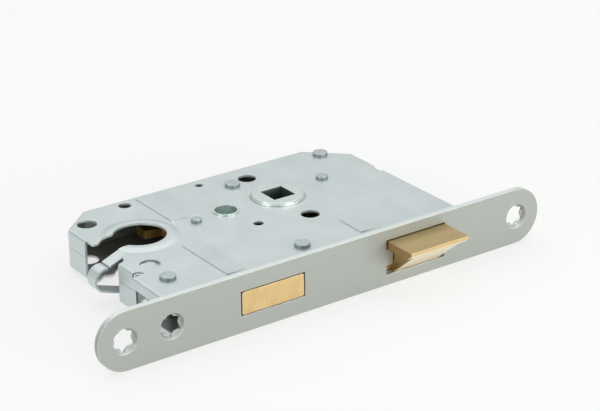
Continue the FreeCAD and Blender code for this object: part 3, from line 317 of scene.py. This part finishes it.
def passivated_zinc():
    """Yellow-passivated plate with faint pink clouds and a painted highlight on its edges."""
    finish = Finish("yellow_zinc")
    clouds = finish.noise(3.5, detail=3.0)
    grain = finish.noise(0.3, detail=2.0)
    colour = finish.blend(finish.spread(clouds, 0.3, 0.7), tint(158, 122, 58), tint(184, 150, 84))
    colour = finish.blend(finish.spread(clouds, 0.62, 0.8) * 0.4, colour, tint(176, 150, 140))
    # painted highlight: a paler colour on the sharp edges
    colour = finish.blend(finish.edge_highlight(0.25) * 0.4, colour, tint(228, 214, 176))
    return finish.surface(
        Base_Color=colour, Metallic=0.8, Roughness=0.3 + grain * 0.15,
        Normal=finish.bump(grain, 0.01, finish.soft_edge(0.15)))


def oiled_wire():
    """Drawn spring wire under a film of oil."""
    finish = Finish("spring_steel")
    drawn = finish.noise(0.4, detail=3.0)
    colour = finish.blend(drawn, tint(92, 94, 96), tint(150, 153, 156))
    return finish.surface(
        Base_Color=colour, Metallic=0.9, Roughness=0.24 + drawn * 0.16,
        Normal=finish.bump(drawn, 0.01, finish.soft_edge(0.1)))


finishes = {
    "satin_forend": satin_forend(),
    "zinc_sheet": sheet_zinc(),
    "bright_follower": polished_plate(),
    "zinc_rivet": riveted_zinc(),
    "latch_brass": ground_brass("latch_brass", tint(226, 199, 148), tint(208, 178, 124)),
    "yellow_zinc": passivated_zinc(),
    "spring_steel": oiled_wire(),
}
for part in frame["record"]["subparts"]:
    node = frame["nodes"][part["node"]]
    node.data.materials.clear()
    node.data.materials.append(finishes[part["material_slot"]])


# The springs: smooth wire tubes in the place of the plain solids of the latch's coil and the two leg springs
TURN_STEPS = 24
LEG_STEPS = 60
# How far the rim of a leg's end reaches past its middle, where the leg leans by 45 degrees
LEANING = math.cos(math.pi / 4)


def drawn_wire(name, node, points, radius):
    """A spring's wire as one smooth tube through its points, in the place of its plain solid."""
    line = bpy.data.curves.new(name, "CURVE")
    line.dimensions = "3D"
    line.bevel_depth = radius
    line.bevel_resolution = 3
    line.use_fill_caps = True
    run = line.splines.new("POLY")
    run.points.add(len(points) - 1)
    for knot, place in zip(run.points, points):
        knot.co = (*place, 1)
    shape = bpy.data.objects.new(name, line)
    wire = bpy.data.objects.new(name, bpy.data.meshes.new_from_object(shape))
    bpy.data.objects.remove(shape)
    bpy.context.scene.collection.objects.link(wire)
    wire.data.shade_smooth()
    wire.data.materials.append(finishes["spring_steel"])
    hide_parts(node)
    return wire


def make_latch_coil():
    """A compression spring on the rod, with a closed turn at each end."""
    latch_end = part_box("latch_head")[1].y
    bracket_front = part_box("latch_bracket")[0].y
    rod_low, rod_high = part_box("latch_rod")
    rod = (rod_low + rod_high) / 2
    wire = 0.9 * MM
    coil_radius = 3.0 * MM
    play = 0.05 * MM
    open_turns = 5
    closed_turns = 2
    start = latch_end + wire / 2 + play
    closed_rise = wire * 1.02
    open_rise = bracket_front - start - wire / 2 - play - closed_rise * closed_turns
    points = []
    for step in range((open_turns + closed_turns) * TURN_STEPS + 1):
        turn = step / TURN_STEPS
        opened = min(max(turn - 1, 0), open_turns)
        rise = open_rise * opened / open_turns + closed_rise * (turn - opened)
        angle = 2 * math.pi * turn
        points.append((rod.x + coil_radius * math.cos(angle), start + rise,
                       rod.z - coil_radius * math.sin(angle)))
    coil = drawn_wire("latch_coil", "latch_spring", points, wire / 2)
    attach(coil, "case")
    slide = next(joint for joint in frame["joints"] if joint["name"] == "latch_slide")
    length = bracket_front - latch_end
    (length - slide["range_m"][1]) / length
    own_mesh(coil)


def torsion_points(node, post, coil_radius, pitch, first_angle, last_angle, first_y, last_y):
    """The points of a coil round a post, with a straight leg from each end to its own depth."""
    post_low, post_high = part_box(post)
    node_low, node_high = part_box(node)
    turns = (last_angle - first_angle) / 360
    middle = (post_low + post_high) / 2
    middle.z = (node_low.z + node_high.z - pitch * turns) / 2
    steps = round(turns * TURN_STEPS)
    coil = []
    for step in range(steps + 1):
        angle = math.radians(first_angle + (last_angle - first_angle) * step / steps)
        reach = Vector((math.cos(angle), math.sin(angle), 0)) * coil_radius
        coil.append(middle + reach + Vector((0, 0, pitch * turns * step / steps)))
    legs = []
    for root, angle, end_y in ((coil[0], first_angle, first_y), (coil[-1], last_angle, last_y)):
        angle = math.radians(angle)
        along = Vector((-math.sin(angle), math.cos(angle), 0))
        end = root + along * ((end_y - root.y) / along.y)
        legs.append([root.lerp(end, step / LEG_STEPS) for step in range(1, LEG_STEPS + 1)])
    return legs[0][::-1] + coil + legs[1]


def make_tumbler_leg_spring():
    """Its short leg stands on the foot behind the forend, its long leg on the tumbler's ear."""
    node_low, node_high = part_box("tumbler_spring")
    wire = 0.6 * MM
    coil_radius = 2.9 * MM
    pitch = 0.75 * MM
    foot = node_low.y + wire / 2 * LEANING
    points = torsion_points("tumbler_spring", "tumbler_post", coil_radius, pitch,
                            first_angle=45, last_angle=720, first_y=foot, last_y=node_high.y)
    spring = drawn_wire("tumbler_wire", "tumbler_spring", points, wire / 2)
    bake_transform(spring)


def make_follower_leg_spring():
    """Its upper leg stands on the rear wall, its lower leg on the follower's short arm."""
    node_low, node_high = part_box("follower_spring")
    wire = 0.9 * MM
    coil_radius = 3.0 * MM
    pitch = 1.1 * MM
    wall = node_high.y - wire / 2 * LEANING
    points = torsion_points("follower_spring", "spring_post", coil_radius, pitch,
                            first_angle=225, last_angle=1260, first_y=wall, last_y=node_low.y)
    spring = drawn_wire("follower_wire", "follower_spring", points, wire / 2)
    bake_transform(spring)


make_latch_coil()
make_tumbler_leg_spring()
make_follower_leg_spring()


# The table that the lock lies on: the forend's edge and the rivet heads touch it
forend_low, forend_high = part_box("forend")
rivet_low, rivet_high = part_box("rear_post")
touch_front = Vector((0, forend_high.y, forend_low.z))
touch_rear = Vector((0, rivet_high.y, rivet_low.z))
tilt = math.atan2(touch_rear.z - touch_front.z, touch_rear.y - touch_front.y)
TABLE_SIZE = 6.0
WHITE = (1, 1, 1, 1)
TABLE_WHITE = (0.84, 0.84, 0.835, 1)
SHADE_GREY = (0.25, 0.25, 0.247, 1)
TABLE_GLOW = 0.68


def pale_table():
    """A table that lights the lock as a white one would, and looks evenly lit itself."""
    finish = Finish("pale_table")
    path = "LightPath"
    seen = (finish.node(path, out="Is Camera Ray") + finish.node(path, out="Is Glossy Ray")
            + finish.node(path, out="Is Transmission Ray"))
    plain = finish.node("BsdfDiffuse", {}, {"Color": TABLE_WHITE})
    shaded = finish.node("BsdfDiffuse", {}, {"Color": SHADE_GREY})
    glow = finish.node("Emission", {}, {"Color": WHITE, "Strength": TABLE_GLOW})
    lifted = finish.node("AddShader", {}, {0: shaded, 1: glow})
    mixed = finish.node("MixShader", {}, {0: seen, 1: plain, 2: lifted})
    finish.node("OutputMaterial", {}, {"Surface": mixed})
    return finish.material


bpy.ops.mesh.primitive_plane_add(size=TABLE_SIZE)
table = bpy.context.object
table.name = "table"
table.matrix_world = Matrix.Translation(touch_front) @ Matrix.Rotation(tilt, 4, "X")
table.data.materials.append(pale_table())


# Light
def softbox(name, place, aim, size, power, colour=(1, 1, 1)):
    lamp = bpy.data.lights.new(name, "AREA")
    lamp.shape = "RECTANGLE"
    lamp.size, lamp.size_y = size
    lamp.energy = power
    lamp.color = colour
    holder = bpy.data.objects.new(name, lamp)
    holder.location = place
    holder.rotation_euler = (Vector(aim) - Vector(place)).to_track_quat("-Z", "Y").to_euler()
    bpy.context.scene.collection.objects.link(holder)


middle = (cad_low + cad_high) / 2
softbox("overhead_softbox", place=(0.2, 0.3, 0.9), aim=middle, size=(1.8, 1.6), power=7.9)
softbox("left_softbox", place=(-0.9, -0.05, 0.3), aim=middle, size=(0.6, 0.5), power=2.4)
softbox("front_softbox", place=(0.22, -0.6, 0.13), aim=(0.08, 0, 0), size=(0.8, 0.24),
        power=3.5, colour=(1, 0.975, 0.93))

world = bpy.data.worlds.new("studio")
bpy.context.scene.world = world
world.use_nodes = True
walls = world.node_tree.nodes["Background"].inputs
walls["Color"].default_value = (0.93, 0.94, 0.93, 1)
walls["Strength"].default_value = 0.55


# Camera, at the place and angle from which the lock was seen
IMAGE_WIDTH = 600
SENSOR = 36.0
NEAREST, FARTHEST = 0.01, 20.0
FOCAL_PIXELS = 1935.4
CAMERA_PLACE = Vector((-0.34402, -0.45141, 0.26950))
CAMERA_RIGHT = Vector((0.81501, -0.57937, -0.00961))
CAMERA_UP = Vector((0.23963, 0.32191, 0.91594))

lens = bpy.data.cameras.new("camera")
lens.sensor_width = SENSOR
lens.lens = FOCAL_PIXELS / IMAGE_WIDTH * SENSOR
lens.clip_start = NEAREST
lens.clip_end = FARTHEST
camera = bpy.data.objects.new("camera", lens)
bpy.context.scene.collection.objects.link(camera)
back = CAMERA_RIGHT.cross(CAMERA_UP).normalized()
axes = Matrix((CAMERA_RIGHT, CAMERA_UP, back)).transposed()
camera.matrix_world = Matrix.Translation(CAMERA_PLACE) @ axes.to_4x4()
bpy.context.scene.camera = camera
bpy.context.scene.view_settings.view_transform = "Standard"
